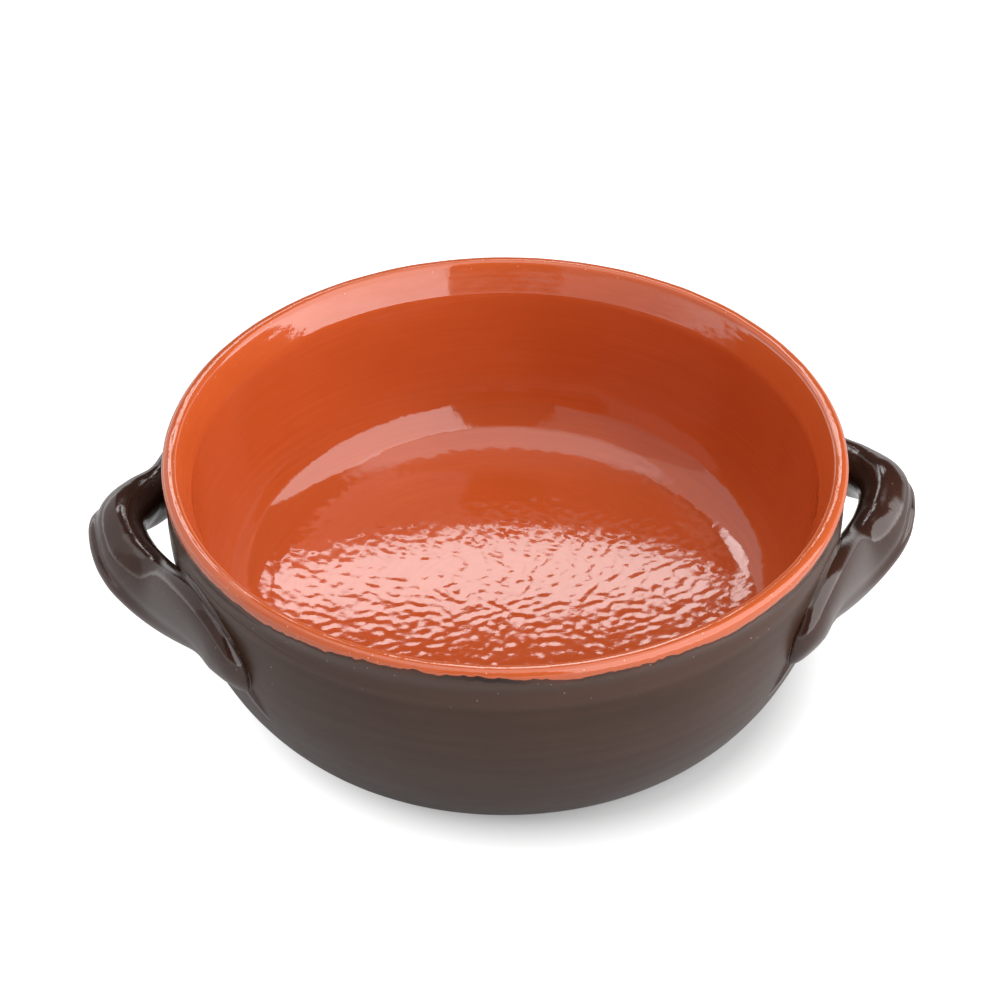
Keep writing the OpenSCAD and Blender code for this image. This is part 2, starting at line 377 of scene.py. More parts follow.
def map_range(tree, value, start, end, low, high):
    """Carries the range from start to end over to the range from low to high."""
    return add_node(tree, "ShaderNodeMapRange", {
        "Value": value, "From Min": start, "From Max": end,
        "To Min": low, "To Max": high}).outputs[0]


def object_place(tree):
    """The Object coordinates socket, in metres on the dish."""
    return add_node(tree, "ShaderNodeTexCoord").outputs["Object"]


def turning_streaks(tree, along, across, detail=3.0):
    """Noise drawn out round the axis: x and y scaled gently, radius plus height scaled strongly."""
    place = object_place(tree)
    apart = add_node(tree, "ShaderNodeSeparateXYZ", {0: place})
    flat = add_node(tree, "ShaderNodeCombineXYZ", {0: apart.outputs[0], 1: apart.outputs[1]})
    radius = add_node(tree, "ShaderNodeVectorMath", {0: flat.outputs[0]},
                      operation="LENGTH").outputs["Value"]
    outline = math_node(tree, "ADD", radius, apart.outputs[2])
    joined = add_node(tree, "ShaderNodeCombineXYZ", {
        0: math_node(tree, "MULTIPLY", apart.outputs[0], along),
        1: math_node(tree, "MULTIPLY", apart.outputs[1], along),
        2: math_node(tree, "MULTIPLY", outline, across)}).outputs[0]
    return add_node(tree, "ShaderNodeTexNoise", {
        "Vector": joined, "Scale": 1.0, "Detail": detail}).outputs["Fac"]


def noise(tree, scale, detail=2.0):
    """Even noise on Object coordinates, with `scale` cells to the metre."""
    return add_node(tree, "ShaderNodeTexNoise", {
        "Vector": object_place(tree), "Scale": scale, "Detail": detail}).outputs["Fac"]


def specks(tree, scale, size, share):
    """Sparse round dots: near the middle of some cells of a Voronoi pattern, picked by the cell's
    own colour."""
    cells = add_node(tree, "ShaderNodeTexVoronoi", {"Vector": object_place(tree), "Scale": scale})
    near = math_node(tree, "LESS_THAN", cells.outputs["Distance"], size)
    picked = add_node(tree, "ShaderNodeSeparateColor", {0: cells.outputs["Color"]}).outputs[0]
    return math_node(tree, "MULTIPLY", near, math_node(tree, "LESS_THAN", picked, share))


def bump(tree, height, strength, distance):
    """A bump node over a height, with the depth of the relief in metres."""
    return add_node(tree, "ShaderNodeBump", {
        "Height": height, "Strength": strength, "Distance": distance}).outputs["Normal"]


# %% [markdown]
# ### Orange glaze
# The glaze is clear and glossy over red clay. Fine rings from the potter's fingers show through it,
# and slow clouds tint it. On the lip the colour is even, and tiny popped bubbles leave specks
# there, where the surface cooled first.

# %% Orange glaze material
def orange_glaze():
    """Base colour: a ramp over turning streaks, tinted by slow clouds; one colour and specks by the
    lip; a low bump of glaze ripple."""
    material, tree, shader = new_material("orange_glaze")
    streaks = ramp(tree, turning_streaks(tree, 26, 900), [
        (0.30, (0.59, 0.099, 0.023)), (0.55, (0.61, 0.105, 0.025)), (0.75, (0.63, 0.112, 0.028))])
    clouds = ramp(tree, noise(tree, 38), [(0.35, (0.95, 0.93, 0.91)), (0.65, (1.0, 1.0, 1.0))])
    colour = mix_colour(tree, 1.0, streaks, clouds, "MULTIPLY")
    edge = attribute(tree, "lip_share")
    colour = mix_colour(tree, edge, colour, (0.62, 0.112, 0.028))
    dots = math_node(tree, "MULTIPLY", specks(tree, 900, 0.16, 0.10), edge)
    colour = mix_colour(tree, dots, colour, (0.75, 0.42, 0.25))
    tree.links.new(colour, shader.inputs["Base Color"])
    tree.links.new(bump(tree, noise(tree, 700), 0.10, 0.0002), shader.inputs["Normal"])
    shader.inputs["Roughness"].default_value = 0.07
    shader.inputs["IOR"].default_value = 1.72
    return material


ORANGE = orange_glaze()
print("made", ORANGE.name)

# %% [markdown]
# ### Brown glaze
# The outside glaze is a dark brown with a satin skin on the wall. It is painted lighter in the
# collar under the lip, a painted sheen where the wall turns up to the light, and painted darker near
# the foot, a painted shade where the wall looks down at the shadowed floor. It is nearly black in
# one short run under the lip.
# Pale pinholes lie in it, most of them in the collar. On the handles the same glaze lies thicker
# and glossier, and it breaks to red on ridges where it ran thin. One function makes both.

# %% Brown glaze materials
# Painted shade: the near-black brown that darkens the wall towards the foot.
FOOT_SHADE_BROWN = (0.020, 0.009, 0.006)
RUN_BROWN = (0.012, 0.004, 0.003)
PINHOLE = (0.30, 0.23, 0.19)


def brown_glaze(name, dark, light, thin, collar_sheen, roughness, dot_share, index):
    """Base colour: a ramp of two browns over streaks, tinted by clouds; attributes mix it towards
    `thin`, a painted collar sheen and the dark run, and its height on the dish towards a painted
    shade by the foot."""
    material, tree, shader = new_material(name)
    streaks = ramp(tree, turning_streaks(tree, 30, 420), [(0.32, dark), (0.70, light)])
    clouds = ramp(tree, noise(tree, 60, 4.0), [
        (0.35, (0.92, 0.91, 0.90)), (0.70, (1.06, 1.05, 1.04))])
    colour = mix_colour(tree, 1.0, streaks, clouds, "MULTIPLY")
    torn = math_node(tree, "ADD", noise(tree, 260, 3.0), 0.35)
    patchy = math_node(tree, "MULTIPLY", attribute(tree, "thin"), torn, clamp=True)
    colour = mix_colour(tree, patchy, colour, thin)
    collar = attribute(tree, "collar")
    # Painted sheen: the collar under the lip is mixed towards a lighter brown, for light caught
    # where the wall turns up under the lip. On the handles the collar value is constant, so there it
    # is an even tint.
    colour = mix_colour(tree, math_node(tree, "MULTIPLY", collar, 0.6), colour, collar_sheen)
    # Painted shade: from 34 mm down to 6 mm the brown is mixed up to halfway towards a near-black
    # brown, where the wall looks down at the floor in the dish's shadow.
    upright = add_node(tree, "ShaderNodeSeparateXYZ", {0: object_place(tree)}).outputs[2]
    foot_shade = map_range(tree, upright, 0.006, 0.034, 0.5, 0.0)
    colour = mix_colour(tree, foot_shade, colour, FOOT_SHADE_BROWN)
    many = specks(tree, 620, 0.12, 3.0 * dot_share)
    few = specks(tree, 330, 0.075, dot_share)
    dots = math_node(tree, "MAXIMUM", math_node(tree, "MULTIPLY", many, collar), few)
    colour = mix_colour(tree, dots, colour, PINHOLE)
    colour = mix_colour(tree, attribute(tree, "run"), colour, RUN_BROWN)
    tree.links.new(colour, shader.inputs["Base Color"])
    uneven = map_range(tree, noise(tree, 120, 3.0), 0.3, 0.7, roughness * 0.94, roughness * 1.08)
    tree.links.new(uneven, shader.inputs["Roughness"])
    tree.links.new(bump(tree, noise(tree, 850), 0.12, 0.0002), shader.inputs["Normal"])
    shader.inputs["IOR"].default_value = index
    return material


# Painted sheen: the wall's lighter brown for the collar stands for light caught under the lip.
BROWN_WALL = brown_glaze(
    "brown_glaze_wall", dark=(0.048, 0.020, 0.011), light=(0.058, 0.025, 0.014),
    thin=(0.12, 0.034, 0.016), collar_sheen=(0.085, 0.042, 0.030),
    roughness=0.31, dot_share=0.06, index=1.42)
BROWN_HANDLE = brown_glaze(
    "brown_glaze_handle", dark=(0.036, 0.013, 0.008), light=(0.054, 0.020, 0.013),
    thin=(0.14, 0.030, 0.014), collar_sheen=(0.050, 0.019, 0.012),
    roughness=0.13, dot_share=0.04, index=1.6)
print("made", BROWN_WALL.name, "and", BROWN_HANDLE.name)

# %% [markdown]
# ### Bare clay
# The foot and the underside stay unglazed so that the dish doesn't stick to the kiln shelf. Fired
# red clay is matt and grainy, with turning marks, dark grains of grog and pale ones.

# %% Bare clay material
def bare_clay():
    """Base colour: turning streaks of three clay reds, with dark and pale grains; a grainy bump."""
    material, tree, shader = new_material("bare_red_clay")
    streaks = ramp(tree, turning_streaks(tree, 40, 700), [
        (0.30, (0.30, 0.105, 0.050)), (0.55, (0.40, 0.150, 0.075)), (0.75, (0.47, 0.200, 0.110))])
    colour = mix_colour(tree, specks(tree, 700, 0.25, 0.18), streaks, (0.17, 0.060, 0.035))
    colour = mix_colour(tree, specks(tree, 900, 0.20, 0.12), colour, (0.60, 0.38, 0.26))
    tree.links.new(colour, shader.inputs["Base Color"])
    tree.links.new(bump(tree, noise(tree, 1600, 4.0), 0.35, 0.0003), shader.inputs["Normal"])
    shader.inputs["Roughness"].default_value = 0.82
    return material


CLAY = bare_clay()
print("made", CLAY.name)

# %% [markdown]
# ## The clay bowl
# Most of the bowl is under glaze, but its foot ring and underside show. The whole outline is
# carried round, from the middle of the underside over the lip to the middle of the floor, so the
# piece is one closed body. The turning tool leaves shallow rings on the underside.

# %% Bowl
CLAY_COLUMNS = 360
RING_STEP = 3.1
RING_DEPTH = 0.10
SMOOTH_RIM = 11


def foot_bend(count):
    """A bend from the foot ring round its edge to the wall."""
    return bend(np.array([FOOT_R, 0.0]), np.array([FOOT_R + FOOT_EDGE, 0.0]),
                np.array([outer_radius(BARE_Z), BARE_Z]), count)


def bowl_outline():
    """Underside, foot, wall, lip and inside as one line of (radius, height), without its two ends
    on the axis."""
    ring_in = FOOT_R - FOOT_RING_W
    under = resample(np.array([[0.0, FOOT_HOLLOW], [ring_in - FOOT_HOLLOW, FOOT_HOLLOW]]), 60)[1:]
    step = resample(np.array([[ring_in - FOOT_HOLLOW, FOOT_HOLLOW], [ring_in, 0.0]]), 4)[1:]
    ring = resample(np.array([[ring_in, 0.0], [FOOT_R, 0.0]]), 8)[1:]
    z = np.linspace(BARE_Z, LIP_Z, 30)[1:]
    wall = np.stack([outer_radius(z), z], -1)
    inside = resample(inside_line(), 70)[1:-1]
    return np.vstack([
        under, step, ring, foot_bend(8)[1:], wall, lip_arc(10)[1:], lip_bevel(16)[1:], inside])


outline = bowl_outline()
shape = (len(outline), CLAY_COLUMNS)
clay_angles = np.linspace(0, 2 * np.pi, CLAY_COLUMNS, endpoint=False)[None, :]
radius = np.broadcast_to(outline[:, :1], shape)
height = np.broadcast_to(outline[:, 1:], shape).copy()
under_share = ease((FOOT_R - SMOOTH_RIM - radius) / 2) * (height < 2 * FOOT_HOLLOW)
place = turned(radius, height, clay_angles)
rings = RING_DEPTH * np.cos(2 * np.pi * radius / RING_STEP + 0.5 * waves(place, 60, 21))
rings = rings + 0.05 * waves(place, 9, 22)
height += under_share * (rings - RING_DEPTH)
bowl = skin_piece("bowl_clay", turned(radius, height, clay_angles), CLAY,
                  first_pole=(0, 0, FOOT_HOLLOW), last_pole=(0, 0, FLOOR_T))
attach(bowl, "root")
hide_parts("bowl")

# %% [markdown]
# ## The orange coat
# The coat is a thin closed shell. Its outer face follows the clay a little way off: up from the
# ragged line, over the lip, down the bevel and across the floor. On the floor the glaze settled
# into small ripples about 3 mm apart, which break up every reflection, so they are real geometry.

# %% Rows of the orange coat
LIP_ROWS = 19


def orange_inside():
    """Rows of the coat from the lip's top down to the middle of the floor, closer together on the
    floor."""
    inside = inside_line()
    return np.vstack([
        lip_bevel(21), resample(inside, 20, 0.0, 0.27)[1:], resample(inside, 24, 0.27, 0.46)[1:],
        resample(inside, 80, 0.46, 1.0)[1:-1]])


def joined(lip, inside):
    """Rows over the lip, and below them the inside's rows carried round."""
    return np.concatenate([lip, np.broadcast_to(inside, (len(inside), COLUMNS))])


line = orange_inside()
normal = outline_normals(np.vstack([lip_arc(30)[-2:-1], line]))[2:]
inside_run = np.cumsum(np.linalg.norm(np.diff(line, axis=0), axis=1))[:, None]
line = line[1:]
edge = dip[None, :]
way = edge + (LIP_TOP - edge) * np.linspace(0, 1, LIP_ROWS)[:, None]
lip_r, lip_z, lip_out, lip_up = outside_at(way)
r, z = joined(lip_r, line[:, :1]), joined(lip_z, line[:, 1:])
normal_r, normal_z = joined(lip_out, normal[:, :1]), joined(lip_up, normal[:, 1:])
print("orange coat:", len(r), "rows, of which", LIP_ROWS, "run over the lip")

# %% Orange coat
EDGE_W = 0.8
ORANGE_IN = 0.045
BACK_IN = 0.03
POLE_IN = 0.02
FLOOR_R, FLOOR_EASE, FLOOR_BELOW = 78, 16, 30
FLOOR_RIPPLE = ((0.0135, 3.3, 31, 64), (0.010, 6.0, 32))
WALL_RIPPLE = ((0.006, 4.5, 33), (0.020, 14.0, 34))
MARK_STEP, MARK_DEPTH = 1.9, 0.0025
LIP_SHARE_W = 9.0

past = joined(way - LIP_TOP, inside_run)
from_edge = joined(way - edge, inside_run + EDGE_W)
angles = np.broadcast_to(ANGLES, r.shape)
place = turned(r, z, angles)
floor_share = ease((FLOOR_R - r) / FLOOR_EASE) * (z < FLOOR_BELOW)
marks = MARK_DEPTH * np.cos(2 * np.pi * past / MARK_STEP) * (1 + waves(place, 24, 35))
coat = COAT_T * np.sqrt(ease(from_edge / EDGE_W)) - ORANGE_IN
coat = coat + floor_share * mixed_waves(place, *FLOOR_RIPPLE)
coat = coat + (1 - floor_share) * (mixed_waves(place, *WALL_RIPPLE) + marks)
coat = coat + bell(past, 0.004, 2.6, 2.5) * waves(place, 3.4, 36)
front = turned(r + coat * normal_r, z + coat * normal_z, angles)
back_rows = np.r_[0:39:6, 39:58:9, 58:81:5, 81:len(r):30]
back = turned(r - BACK_IN * normal_r, z - BACK_IN * normal_z, angles)[back_rows]
lip_share = ease(1 - np.abs(past + 0.4) / LIP_SHARE_W)
inner = skin_piece("inner_glaze_coat", np.concatenate([front[::-1], back]), ORANGE,
                   first_pole=(0, 0, FLOOR_T + COAT_T - POLE_IN),
                   last_pole=(0, 0, FLOOR_T - BACK_IN),
                   attributes={"lip_share": lip_share[::-1]})
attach(inner, "root")
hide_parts("inner_glaze")

# %% [markdown]
# ## The brown coat
# The brown coat is a second shell, from the middle of the foot's rounded edge up to the orange. It
# thins out at both edges. Soft throwing rings run round the wall, and one fine line was scratched
# under the lip at the left front. Attributes tell the material where the collar is, where the
# glaze is thin, and where a dark run of it gathered under the lip.

# %% Rows of the brown coat
FOOT_ROWS = 6
TUCK_H = 1.0
SHIFT_Z = 52


def brown_outline():
    """Rows of the coat: half of the foot's bend, then up the wall, closer together at both edges
    and near the scratch."""
    z = np.concatenate([
        np.linspace(BARE_Z, BARE_Z + 2, 5)[:-1], np.linspace(BARE_Z + 2, 50, 42)[:-1],
        np.linspace(50, 55, 30)[:-1], np.linspace(55, DIP_Z + TUCK_H, 18)])
    wall = np.stack([outer_radius(z), z], -1)
    return np.vstack([foot_bend(2 * FOOT_ROWS + 1)[FOOT_ROWS:-1], wall])


line = brown_outline()
normal = outline_normals(line)
line_run = np.append(0, np.cumsum(np.linalg.norm(np.diff(line, axis=0), axis=1)))[:, None]
level = line[:, 1:]
way = level + (edge - DIP_Z) * ease((level - SHIFT_Z) / (DIP_Z - SHIFT_Z))
r, z, normal_r, normal_z = outside_at(way)
foot = np.arange(len(line))[:, None] < FOOT_ROWS
r = np.where(foot, line[:, :1], r)
normal_r = np.where(foot, normal[:, :1], normal_r)
normal_z = np.where(foot, normal[:, 1:], normal_z)
print("brown coat:", len(line), "rows, of which", FOOT_ROWS, "lie on the foot's bend")

# %% Brown coat
BROWN_IN = 0.03
SCRATCH_Z, SCRATCH_W, SCRATCH_DEPTH = 53.4, 0.22, 0.16
SCRATCH_START, SCRATCH_END = -1.35, -0.55
THROW_STEP, THROW_DEPTH = 5.3, 0.012
COLLAR_Z, COLLAR_EASE = 49.5, 2.5

angles = np.broadcast_to(ANGLES, r.shape)
place = turned(r, z, angles)
side = from_front(angles)
below_edge = edge - way
above_bare = line_run - np.clip(bare_line(ANGLES) - BARE_Z, -0.3, 0.5)[None, :]
coat = COAT_T * np.sqrt(ease((above_bare + 0.02) / 0.9))
coat = coat * (0.25 + 0.75 * ease((below_edge + 0.3) / 0.7)) - BROWN_IN
coat = coat + 0.02 * waves(place, 30, 41) * ease(above_bare / 3) + 0.004 * waves(place, 3.2, 42)
throwing = np.cos(2 * np.pi * z / THROW_STEP + 0.6 * waves(place, 70, 43))
coat = coat + THROW_DEPTH * throwing * ease(above_bare / 6)
scratch = bell(z - 0.25 * waves(place, 45, 44), SCRATCH_DEPTH, SCRATCH_Z, SCRATCH_W)
coat = coat - scratch * ease((side - SCRATCH_START) / 0.2) * ease((SCRATCH_END - side) / 0.35)
front = turned(r + coat * normal_r, z + coat * normal_z, angles)
back_rows = np.r_[0:len(line):9, len(line) - 1]
back = turned(r - BACK_IN * normal_r, z - BACK_IN * normal_z, angles)[back_rows]
values = {
    "collar": ease((z - COLLAR_Z) / COLLAR_EASE),
    "thin": ease(1 - np.abs(below_edge - 0.5) / 1.6) * ease(0.4 + 0.5 * waves(place, 12, 45)),
    "run": ease(1 - np.abs(below_edge - 0.5) / 1.1) * bell(side, 1.0, -0.13, 0.10)}
outer = skin_piece("outer_glaze_coat", np.concatenate([front, back[::-1]]), BROWN_WALL,
                   closed_rows=True, attributes=values)
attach(outer, "root")
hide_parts("outer_glaze")

# %% [markdown]
# ## The handles' middle line
# Each handle is a strap pulled from a lump of clay, bent into a loop and pressed on with its two
# ends. Six rows give its middle line on one half: how far along the lip, how far off the wall, how
# deep under the lip, how wide and how thick. A smooth curve runs through them, and the other half
# is its mirror image.

# %% Middle line of the strap
HANDLE_RUN = 59.8
HANDLE_DROP, ROOT_DROP, TONGUE_DROP = 22.6, 21.0, 34.0
STRAP_W, ROOT_W, TONGUE_W = 15.6, 20.0, 8.6
STRAP_T, ROOT_T, TONGUE_T = 14.0, 6.1, 3.5
STRAP_SAG = 5.0
STRAP_TILT = math.radians(44)
TURN_END = 0.52
FINGER_GAP = 6.4
REACH = GLAZE_T + FINGER_GAP + STRAP_W / 2


def between(a, b, share):
    """The value a share of the way from a to b."""
    return a + (b - a) * share


SEAT_SHARE = 0.1
MID_T = between(ROOT_T, TONGUE_T, 0.1)
LANDED = 2 * (1 - SEAT_SHARE)
STRAP_ROWS = np.array([
    [0.0, REACH, HANDLE_DROP, STRAP_W, STRAP_T],
    [0.2, 0.8 * REACH, HANDLE_DROP + 0.62 * STRAP_SAG,
     between(STRAP_W, ROOT_W, 0.5), between(STRAP_T, LANDED * ROOT_T, 0.3)],
    [0.37, 0.4 * REACH, HANDLE_DROP + STRAP_SAG, ROOT_W, LANDED * ROOT_T],
    [0.7, SEAT_SHARE * ROOT_T, ROOT_DROP, ROOT_W, LANDED * ROOT_T],
    [0.9, SEAT_SHARE * MID_T, between(ROOT_DROP, TONGUE_DROP, 0.3),
     between(ROOT_W, TONGUE_W, 0.38), LANDED * MID_T],
    [1.0, SEAT_SHARE * TONGUE_T, TONGUE_DROP, TONGUE_W, LANDED * TONGUE_T]])


def smooth_rows(rows, steps):
    """A Catmull-Rom curve through rows, mirrored at the first row and run straight on past the
    last."""
    before = rows[1] * np.array([-1, 1, 1, 1, 1])
    after = 2 * rows[-1] - rows[-2]
    full = np.vstack([before, rows, after])
    t = (np.arange(steps) / steps)[None, :, None]
    a, b, c, d = (full[k:len(rows) - 1 + k, None, :] for k in range(4))
    curve = 2 * b + (c - a) * t + (2 * a - 5 * b + 4 * c - d) * t**2
    curve = (curve + (3 * b - a - 3 * c + d) * t**3) / 2
    return np.vstack([curve.reshape(-1, rows.shape[1]), rows[-1:]])


def unit(v):
    """Vectors scaled to length one."""
    return v / np.linalg.norm(v, axis=-1, keepdims=True)


def strap_frame(steps):
    """For each point of the half line: its place, its broad direction, its face direction, and its
    row of values. The face slopes at the crown and turns straight outwards where the strap lies on
    the wall."""
    row = smooth_rows(STRAP_ROWS, steps)
    turn = row[:, 0] * HANDLE_RUN / RIM_R
    z = BOWL_H - row[:, 2]
    r = outer_radius(z) + row[:, 1]
    centre = np.stack([r * np.cos(turn), r * np.sin(turn), z], -1)
    mirrored = np.vstack([centre[1:2] * np.array([1, -1, 1]), centre])
    ahead = np.vstack([mirrored[2:], mirrored[-1:]])
    tangent = unit(ahead - mirrored[:-1])
    outward = np.stack([np.cos(turn), np.sin(turn), 0 * turn], -1)
    upward = outward * math.sin(STRAP_TILT) + np.array([0, 0, math.cos(STRAP_TILT)])
    share = ease(row[:, 0] / TURN_END)[:, None]
    face = upward * (1 - share) + outward * share
    face = unit(face - tangent * (face * tangent).sum(-1, keepdims=True))
    return centre, np.cross(tangent, face), face, row


STRAP_STEPS = 36
centre, broad, face, row = strap_frame(STRAP_STEPS)
print("strap's half line:", len(row), "rings, crown at", centre[0].round(1))

# %% [markdown]
# ## The straps
# The section is a rounded rectangle, a superellipse, with a crease beside the middle of its face,
# where the potter's thumb ran. It is carried along the middle line. Each ring is averaged with its
# neighbours where the loop comes down onto the wall, so the turn is soft there. Finger marks and a
# thick skin of glaze make the strap uneven, and no two straps are alike.

# %% Strap surface
SIDES = 96
STRAP_POWER = 2.5
STRAP_CUT = 0.2
SEAT_H = 0.58
SOFT_RINGS = 26
TIP_START = 0.93
CREASE_AT, CREASE_W = 0.32, 0.20
CROWN_LENGTH = 0.45
FINGER_MARKS = ((0.10, 20, 0), (0.030, 7, 1), (0.005, 2, 2))


def signed_power(v, k):
    """Keeps the sign of v and raises its size to a power."""
    return np.sign(v) * np.abs(v) ** k


def softened(grid, signed):
    """Each ring averaged with its neighbours by bell-shaped weights, where the loop comes down onto
    the wall."""
    offsets = np.arange(-SOFT_RINGS, SOFT_RINGS + 1)
    weights = np.exp(-2 * (offsets / SOFT_RINGS) ** 2)
    padded = np.pad(grid, ((SOFT_RINGS, SOFT_RINGS), (0, 0), (0, 0)), mode="edge")
    starts = SOFT_RINGS + offsets
    mean = sum(w * padded[k:k + len(grid)] for k, w in zip(starts, weights)) / weights.sum()
    share = ease((np.abs(signed) - 0.12) / 0.18) * ease((0.90 - np.abs(signed)) / 0.12)
    return grid + (mean - grid) * share[..., None]


def both_halves(values, flip=1):
    """Values along the half line, carried on over the crown to the mirrored half."""
    return np.concatenate([values[:0:-1] * flip, values])


def tip_round(share):
    """How far each ring is into the rounded tip: 0 before it, 1 at its end."""
    return np.clip((share - TIP_START) / (1 - TIP_START), 0, 1)


def strap_grid(seed):
    """Grid (rings, sides, 3) of the right-hand strap: centre + half width x cos^k x broad + (half
    thickness x sin^k - crease) x face, less an even cut for the noise, then pressed out so that
    nothing lies inside its seat. Also the ridge on its outer edge, where the glaze runs thin."""
    v = np.linspace(0, 2 * np.pi, SIDES, endpoint=False)[None, :]
    across, up = np.cos(v), np.sin(v)
    signed = both_halves(row[:, 0], -1)[:, None]
    tip = tip_round(np.abs(signed))
    width = both_halves(row[:, 3])[:, None] / 2 * np.maximum(np.sqrt(1 - tip**2), 0.3)
    thick = both_halves(row[:, 4])[:, None] / 2 * np.maximum(np.sqrt(1 - tip**2), 0.25)
    crown = bell(signed, 1.0, 0.0, CROWN_LENGTH)
    wander = CREASE_AT + 0.10 * np.sin(4 * signed + seed)
    crease = (0.15 + 0.85 * crown) * bell(across, 1.0, wander, CREASE_W) * ease(up / 0.25)
    flip = np.array([1, -1, 1])
    c, b, f = (both_halves(q, flip)[:, None, :] for q in (centre, broad, face))
    lift = thick * signed_power(up, 2 / STRAP_POWER) - crease
    reach = width * signed_power(across, 2 / STRAP_POWER)
    grid = c + reach[..., None] * b + lift[..., None] * f
    outward = unit((reach / width**2)[..., None] * b + (lift / thick**2)[..., None] * f)
    relief = mixed_waves(grid, *((depth, size, seed + k) for depth, size, k in FINGER_MARKS))
    relief = np.clip(relief, -STRAP_CUT, STRAP_CUT) * np.sqrt(1 - 0.8 * tip**2) - STRAP_CUT
    grid = softened(grid + relief[..., None] * outward, signed)
    flat_r = np.linalg.norm(grid[..., :2], axis=-1)
    seat = np.maximum(outer_radius(grid[..., 2]) + SEAT_H, flat_r)
    grid[..., :2] *= (seat / flat_r)[..., None]
    ridge = ease((across - 0.45) / 0.4) * ease((up + 0.3) / 0.3) * (0.2 + 0.5 * crown)
    return grid, ridge


def turned_by(points, degrees):
    """Points turned about the Z axis."""
    c, s = math.cos(math.radians(degrees)), math.sin(math.radians(degrees))
    return points @ np.array([[c, s, 0], [-s, c, 0], [0, 0, 1]])


def make_handle(name, node, degrees, seed):
    """One strap, turned round to its side of the bowl and closed at its tips with fans."""
    grid, ridge = strap_grid(seed)
    grid = turned_by(grid, degrees)
    ends = grid[0].mean(0), grid[-1].mean(0)
    piece = skin_piece(name, grid, BROWN_HANDLE, first_pole=ends[0], last_pole=ends[1],
                       attributes={"thin": ridge, "collar": np.full_like(ridge, 0.5)})
    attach(piece, "root")
    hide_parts(node)


LEFT_TURN = 1.5
make_handle("right_handle_strap", "right_handle", 0, 51)
make_handle("left_handle_strap", "left_handle", 180 - LEFT_TURN, 61)

# %% [markdown]
# ## The slip joints
# Where a strap's end is pressed on, slip squeezes out and the potter smears it into a soft hollow
# fillet, and glaze covers it. Each joint is a thin pad on the wall that follows the strap's
# outline: flat under the strap, and falling away in a hollow curve to the wall.

# %% Slip joints
FILLET_W = 1.3
FILLET_H = 0.9
PAD_H = 0.20
PAD_IN = 0.25
JOINT_TUCK = 0.8
BED_START, BED_EASE = 0.46, 0.10
JOINT_ROWS, JOINT_COLUMNS, TAIL_ROWS = 48, 33, 8
TAIL_STRETCH = 1.3


def joint_grid():
    """Angle, height and rise over the clay of a joint, in the strap's own directions; the rise falls
    off to a pad under the glaze as the square of the distance past the strap's edge, and also
    where the strap leaves the wall and past its tip."""
    rows = np.linspace(BED_START, 1.0, JOINT_ROWS)
    tail = np.arange(1, TAIL_ROWS + 1) / TAIL_ROWS

    def along(values):
        """Values of the strap's rings, read at the joint's rows."""
        return np.stack([np.interp(rows, row[:, 0], q) for q in values.T], -1)

    def run_on(values):
        """Values carried on past the strap's tip at the slope that they have there."""
        slope = values[-1] - values[-1 - TAIL_ROWS]
        return np.append(values, values[-1] + slope * tail * TAIL_STRETCH)

    spot, way, size = along(centre), unit(along(broad)), along(row)
    turn = np.arctan2(spot[:, 1], spot[:, 0])
    round_wall = np.stack([-np.sin(turn), np.cos(turn), 0 * turn], -1)
    sideways = np.pad((way * round_wall).sum(-1), (0, TAIL_ROWS), mode="edge")
    rise = np.pad(way[:, 2], (0, TAIL_ROWS), mode="edge")
    half = size[:, 3] / 2 - JOINT_TUCK
    half = half * np.maximum(np.sqrt(1 - tip_round(rows) ** 2), 0.3)
    half = np.append(half, half[-1] * np.sqrt(1 - tail**2))[:, None]
    strength = np.append(ease((rows - BED_START) / BED_EASE), 1 - ease(tail))[:, None]
    off = np.linspace(-1, 1, JOINT_COLUMNS)[None, :] * (half + FILLET_W)
    angle = run_on(turn)[:, None] + off * sideways[:, None] / RIM_R
    z = run_on(spot[:, 2])[:, None] + off * rise[:, None]
    climb = np.clip((half + FILLET_W - np.abs(off)) / FILLET_W, 0, 1)
    return angle, z, PAD_H + FILLET_H * strength * climb**2


def make_joint(name, node, mirror_x, mirror_y, seed):
    """A closed pad: its upper face over the wall and a lower face inside the clay, joined round the
    rim."""
    angle, z, over = joint_grid()
    clay = outer_radius(z)
    upper = turned(clay + over, z, angle)
    smear = 0.03 * waves(upper, 6, seed) * (over - PAD_H)
    upper[..., :2] *= 1 + smear[..., None] / RIM_R
    lower = turned(clay - PAD_IN, z, angle)
    grid = np.concatenate([upper, lower[:, ::-1]], 1)
    grid = grid * np.array([-1 if mirror_x else 1, -1 if mirror_y else 1, 1])
    if mirror_x == mirror_y:
        grid = grid[:, ::-1]
    if mirror_x:
        grid = turned_by(grid, -LEFT_TURN)
    ends = grid[0].mean(0), grid[-1].mean(0)
    piece = skin_piece(name, grid, BROWN_HANDLE, first_pole=ends[0], last_pole=ends[1],
                       attributes={"thin": np.zeros(grid.shape[:2]),
                                   "collar": np.full(grid.shape[:2], 0.25)})
    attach(piece, "root")
    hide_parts(node)


make_joint("right_back_joint", "right_back_slip", False, False, 71)
make_joint("right_front_joint", "right_front_slip", False, True, 72)
make_joint("left_back_joint", "left_back_slip", True, False, 73)
make_joint("left_front_joint", "left_front_slip", True, True, 74)

# %% [markdown]
# ## Floor and world
# The dish stands on a white sweep. The floor is plain diffuse white with a little light of its own
# for what looks straight at it, so it shows white and still keeps the dish's shadow. Round the foot
# the glow is weaker, a painted shadow that deepens the real one. Further out it is full, painted
# light that lightens the dish's cast shadow away. The world is bright near the horizon, like the
# sweep, dim above it, and bright again straight overhead, where a studio has its ceiling light.

# %% Floor and world
FLOOR_WHITE = (0.60, 0.60, 0.60, 1)
SHADOW_MIDDLE = (0.010, -0.016, 0.0)
MIRRORED_GLOW = 0.2
FLOOR_RINGS = (400.0, 9000.0)
FLOOR_SIDES = 96


